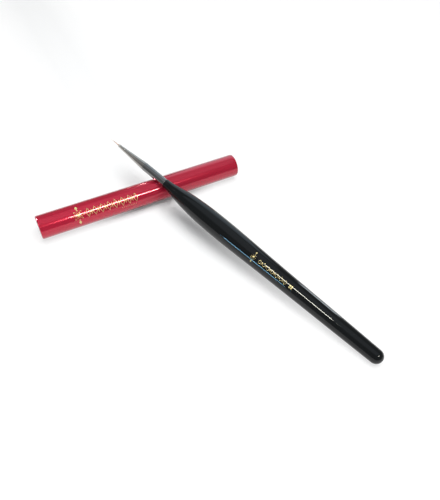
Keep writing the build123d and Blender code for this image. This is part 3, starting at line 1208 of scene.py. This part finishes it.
# -------------------------------------------------------------------------------- stage
def soft_light(name, target, azimuth, elevation, distance, spans, brightness, seen_by):
    """A soft panel that faces a point from a direction, given in degrees.

    Azimuth is measured from +Y towards +X. The panel's sides are twice the distance times
    the tangent of half of each span, and its power is its brightness times pi times its area.
    """
    level = math.cos(elevation * DEGREE)
    direction = Vector(
        (
            math.sin(azimuth * DEGREE) * level,
            math.cos(azimuth * DEGREE) * level,
            math.sin(elevation * DEGREE),
        )
    )
    width, height = (2 * distance * math.tan(span / 2 * DEGREE) for span in spans)
    light = bpy.data.lights.new(name, "AREA")
    light.shape = "RECTANGLE"
    light.size, light.size_y = width, height
    peak = max(brightness)
    light.color = tuple(channel / peak for channel in brightness)
    light.energy = peak * math.pi * width * height
    lamp = bpy.data.objects.new(name, light)
    lamp.matrix_world = facing(Vector(target) + direction * distance, -direction)
    lamp.visible_diffuse = seen_by == "diffuse"
    lamp.visible_glossy = seen_by == "glossy"
    bpy.context.scene.collection.objects.link(lamp)
    return lamp


def facing(place, forward, roll=0.0):
    """The matrix of a camera or lamp at a place that looks along a direction."""
    forward = forward.normalized()
    level = forward.cross(Vector((0, 0, 1)))
    if level.length < 1e-6:
        level = Vector((1, 0, 0))
    level.normalize()
    above = level.cross(forward)
    right = level * math.cos(roll) + above * math.sin(roll)
    up = above * math.cos(roll) - level * math.sin(roll)
    matrix = Matrix((right, up, -forward)).transposed().to_4x4()
    matrix.translation = place
    return matrix


class BRUSH_OT_stage(bpy.types.Operator):
    """Add the plain floor, the soft lights, the room light and the camera"""

    bl_idname = "detail_brush.stage"
    bl_label = "Stage"

    def execute(self, context):
        scene = context.scene
        settings = scene.brush_stage
        self.add_floor(settings)
        self.add_lights(scene, settings)
        self.add_room(scene, settings)
        self.add_camera(scene, settings)
        scene.view_settings.view_transform = "Standard"
        return {"FINISHED"}

    def add_floor(self, settings):
        """One flat square at height nought, with its calm strip set off from the cap."""
        half = settings.floor_size / 2
        corners = np.array([(-half, -half, 0), (half, -half, 0), (half, half, 0), (-half, half, 0)])
        mesh = bpy.data.meshes.new("floor")
        mesh.from_pydata(corners.tolist(), [], [(0, 1, 2, 3)])
        floor = bpy.data.objects.new("floor", mesh)
        bpy.context.scene.collection.objects.link(floor)
        calm_x = cap_place()[0].x + settings.calm_from_cap
        mesh.materials.append(studio_floor(settings, calm_x))

    def add_lights(self, scene, settings):
        """Two lamps that light surfaces, and seven that only show in gloss."""
        cap_start = cap_place()[0]
        cap_left = cap_start + Vector((37, 0, 5)) * MM
        brush = brush_matrix(scene)
        middle = brush @ Vector((70 * MM, 0, 0))
        tail = brush @ Vector((105 * MM, 0, 0))
        key = soft_light("key", middle, 105, 84, 0.7, (46, 46), (1, 1, 1), "diffuse")
        key.data.energy = settings.key_power
        fill = soft_light("fill", middle, 205, 34, 0.9, (70, 40), (1, 1, 1), "diffuse")
        fill.data.energy = settings.fill_power
        cool = (0.54, 0.66, 0.75)
        soft_light("ceiling", middle, 0, 84, 0.8, (56, 56), (0.2, 0.22, 0.25), "glossy")
        soft_light("cap_lamp", cap_left, 165, 47.5, 0.8, (14, 5), (34, 33, 30), "glossy")
        soft_light("handle_strip", tail, 255.5, 61.5, 0.8, (12, 3), (62, 61, 54), "glossy")
        soft_light("window", tail, 265.5, 7, 0.8, (12, 2.4), (12, 27, 40), "glossy")
        soft_light("side_panel", middle, 38, 25, 0.8, (40, 44), cool, "glossy")
        soft_light("end_lamp", cap_start, 330, 36, 0.8, (14, 14), (100, 94, 94), "glossy")
        soft_light("side_lamp", tail, 68, 11, 0.8, (7, 20), (4.4, 4.9, 5.2), "glossy")

    def add_room(self, scene, settings):
        """An even, faintly cool light from every side."""
        world = bpy.data.worlds.new("room")
        world.use_nodes = True
        background = world.node_tree.nodes["Background"]
        background.inputs["Color"].default_value = (0.94, 0.98, 1.0, 1)
        background.inputs["Strength"].default_value = settings.room
        scene.world = world

    def add_camera(self, scene, settings):
        """A camera set off from the cap's start, facing along the view's two angles."""
        camera = bpy.data.cameras.new("camera")
        camera.lens = settings.lens
        camera.sensor_width = 36
        camera.shift_x, camera.shift_y = settings.shift_right, settings.shift_up
        camera.clip_start, camera.clip_end = 0.01, 10
        level = math.cos(settings.view_elevation)
        forward = Vector(
            (
                math.sin(settings.view_azimuth) * level,
                math.cos(settings.view_azimuth) * level,
                -math.sin(settings.view_elevation),
            )
        )
        place = cap_place()[0] + Vector(settings.camera_from_cap)
        seen_from = bpy.data.objects.new("camera", camera)
        seen_from.matrix_world = facing(place, forward, settings.view_roll)
        scene.collection.objects.link(seen_from)
        scene.camera = seen_from


OPERATORS = (
    BRUSH_OT_cap,
    BRUSH_OT_cap_ornament,
    BRUSH_OT_handle,
    BRUSH_OT_handle_ornament,
    BRUSH_OT_ferrule,
    BRUSH_OT_hair,
    BRUSH_OT_inner_parts,
    BRUSH_OT_stage,
)


class BRUSH_PT_pieces(bpy.types.Panel):
    """Lists the brush's pieces"""

    bl_idname = "BRUSH_PT_pieces"
    bl_label = "Detail Brush"
    bl_space_type = "VIEW_3D"
    bl_region_type = "UI"
    bl_category = "Detail Brush"

    def draw(self, context):
        for operator in OPERATORS:
            self.layout.operator(operator.bl_idname)


CLASSES = (*GROUPS.values(), *OPERATORS, BRUSH_PT_pieces)


def register():
    """Registers the classes and attaches the sizes to the scene."""
    for kind in CLASSES:
        bpy.utils.register_class(kind)
    for name, kind in GROUPS.items():
        setattr(bpy.types.Scene, name, PointerProperty(type=kind))


def unregister():
    """Takes away what register added."""
    for name in GROUPS:
        delattr(bpy.types.Scene, name)
    for kind in reversed(CLASSES):
        bpy.utils.unregister_class(kind)


def main():
    register()
    bpy.ops.detail_brush.cap()
    bpy.ops.detail_brush.cap_ornament()
    bpy.ops.detail_brush.handle()
    bpy.ops.detail_brush.handle_ornament()
    bpy.ops.detail_brush.ferrule()
    bpy.ops.detail_brush.hair()
    bpy.ops.detail_brush.inner_parts()
    bpy.ops.detail_brush.stage()


if __name__ == "__main__":
    main()
